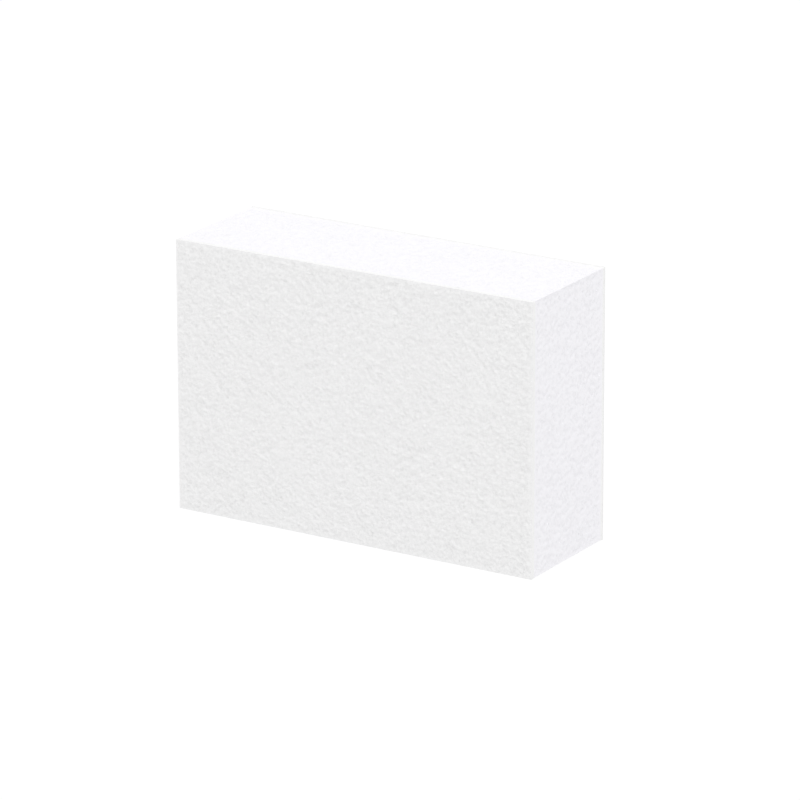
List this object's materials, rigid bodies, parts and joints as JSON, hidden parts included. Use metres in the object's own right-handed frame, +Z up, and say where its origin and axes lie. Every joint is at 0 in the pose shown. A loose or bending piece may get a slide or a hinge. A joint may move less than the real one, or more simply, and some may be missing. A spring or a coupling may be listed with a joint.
{
  "type": "nail buffer block",
  "caption": "Small rectangular nail buffer block: a white foam core with a coarse abrasive sheet glued to its front face and a fine one to its back.",
  "frame": {"origin": "centre of the long narrow face that the block stands on", "axes": "+X along the block's length, +Y through its thickness from the coarse sheet to the fine sheet, +Z up its height"},
  "size_m": [0.035, 0.012, 0.024],
  "materials": {
    "foam": "matte",
    "coarse_abrasive": "matte",
    "fine_abrasive": "matte",
    "backing_paper": "matte",
    "adhesive": "satin"
  },
  "bodies": {
    "root": {"front_abrasive_coat": "coarse_abrasive", "front_backing_paper": "backing_paper", "front_adhesive_film": "adhesive", "foam_core": "foam", "back_adhesive_film": "adhesive", "back_backing_paper": "backing_paper", "back_abrasive_coat": "fine_abrasive"}
  },
  "joints": []
}
